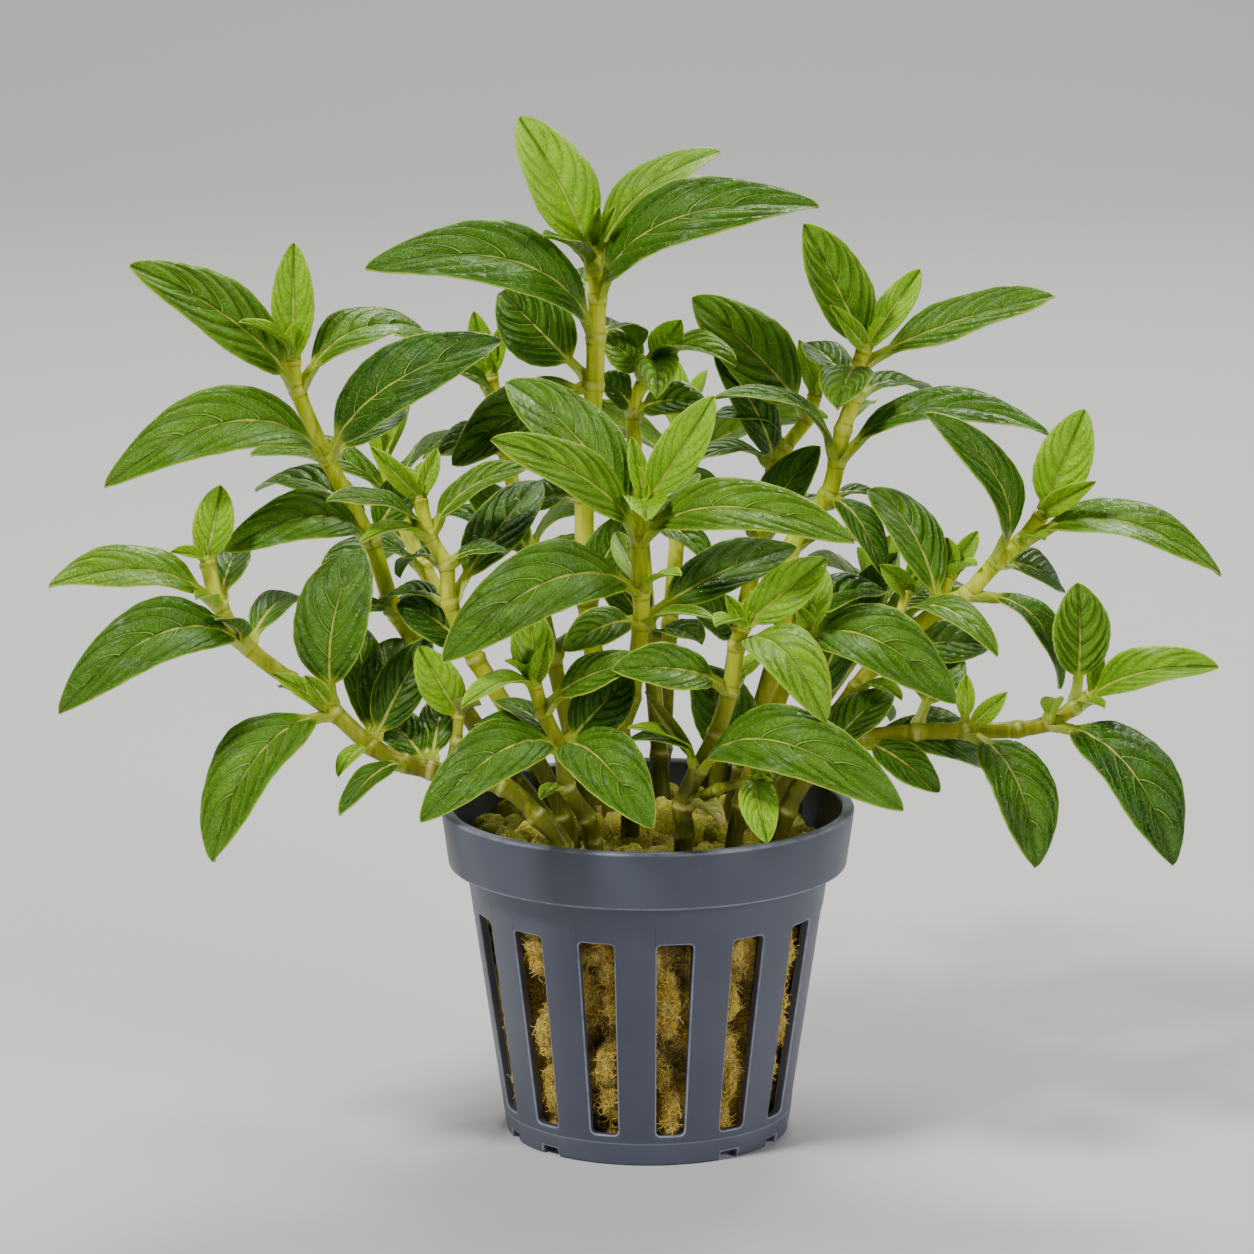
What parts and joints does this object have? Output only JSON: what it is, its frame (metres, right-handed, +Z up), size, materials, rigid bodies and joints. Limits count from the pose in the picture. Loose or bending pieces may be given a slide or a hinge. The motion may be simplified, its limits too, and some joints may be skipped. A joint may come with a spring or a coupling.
{
  "type": "potted staurogyne repens",
  "caption": "Bushy staurogyne repens, an aquarium plant with leafy shoots, growing in rockwool in a slotted net pot that stands on its flat base",
  "frame": {"origin": "centre of the flat underside of the pot", "axes": "+Z up, +X to the right of someone facing the plant's front, -Y towards that person"},
  "size_m": [0.1438, 0.0955, 0.1276],
  "materials": {
    "pot": "satin slate-grey moulded plastic",
    "rockwool": "ochre to olive mineral wool fibres",
    "stem": "yellow-olive living stem, smooth, browner at the root",
    "leaf": "glossy quilted green leaf with a pale midrib, lighter when young"
  },
  "bodies": {
    "root": {"leaf_back_right_1": "leaf", "leaf_centre_front_1": "leaf", "leaf_centre_front_2": "leaf", "leaf_centre_front_3": "leaf", "leaf_centre_front_4": "leaf", "leaf_centre_front_5": "leaf", "leaf_centre_front_6": "leaf", "leaf_centre_tall_1": "leaf", "leaf_centre_tall_2": "leaf", "leaf_centre_tall_3": "leaf", "leaf_centre_tall_4": "leaf", "leaf_centre_tall_5": "leaf", "leaf_front_left_1": "leaf", "leaf_front_left_2": "leaf", "leaf_front_left_3": "leaf", "leaf_left_low_1": "leaf", "leaf_left_low_2": "leaf", "leaf_left_low_3": "leaf", "leaf_left_low_4": "leaf", "leaf_left_middle_1": "leaf", "leaf_left_tall_1": "leaf", "leaf_left_tall_2": "leaf", "leaf_left_tall_3": "leaf", "leaf_left_tall_4": "leaf", "leaf_left_tall_5": "leaf", "leaf_right_front_1": "leaf", "leaf_right_front_2": "leaf", "leaf_right_front_3": "leaf", "leaf_right_front_4": "leaf", "leaf_right_inner_1": "leaf", "leaf_right_low_1": "leaf", "leaf_right_low_2": "leaf", "leaf_right_low_3": "leaf", "leaf_right_low_4": "leaf", "leaf_right_middle_1": "leaf", "leaf_right_middle_2": "leaf", "leaf_right_middle_3": "leaf", "leaf_right_middle_4": "leaf", "leaf_right_tall_1": "leaf", "leaf_right_tall_2": "leaf", "leaf_right_tall_3": "leaf", "net_pot": "pot", "rockwool_plug": "rockwool", "stem_back_centre": "stem", "stem_back_left": "stem", "stem_back_right": "stem", "stem_centre_front": "stem", "stem_centre_tall": "stem", "stem_front_left": "stem", "stem_left_low": "stem", "stem_left_middle": "stem", "stem_left_tall": "stem", "stem_rear_centre": "stem", "stem_rear_left": "stem", "stem_rear_right": "stem", "stem_right_front": "stem", "stem_right_inner": "stem", "stem_right_low": "stem", "stem_right_middle": "stem", "stem_right_tall": "stem"}
  },
  "joints": []
}
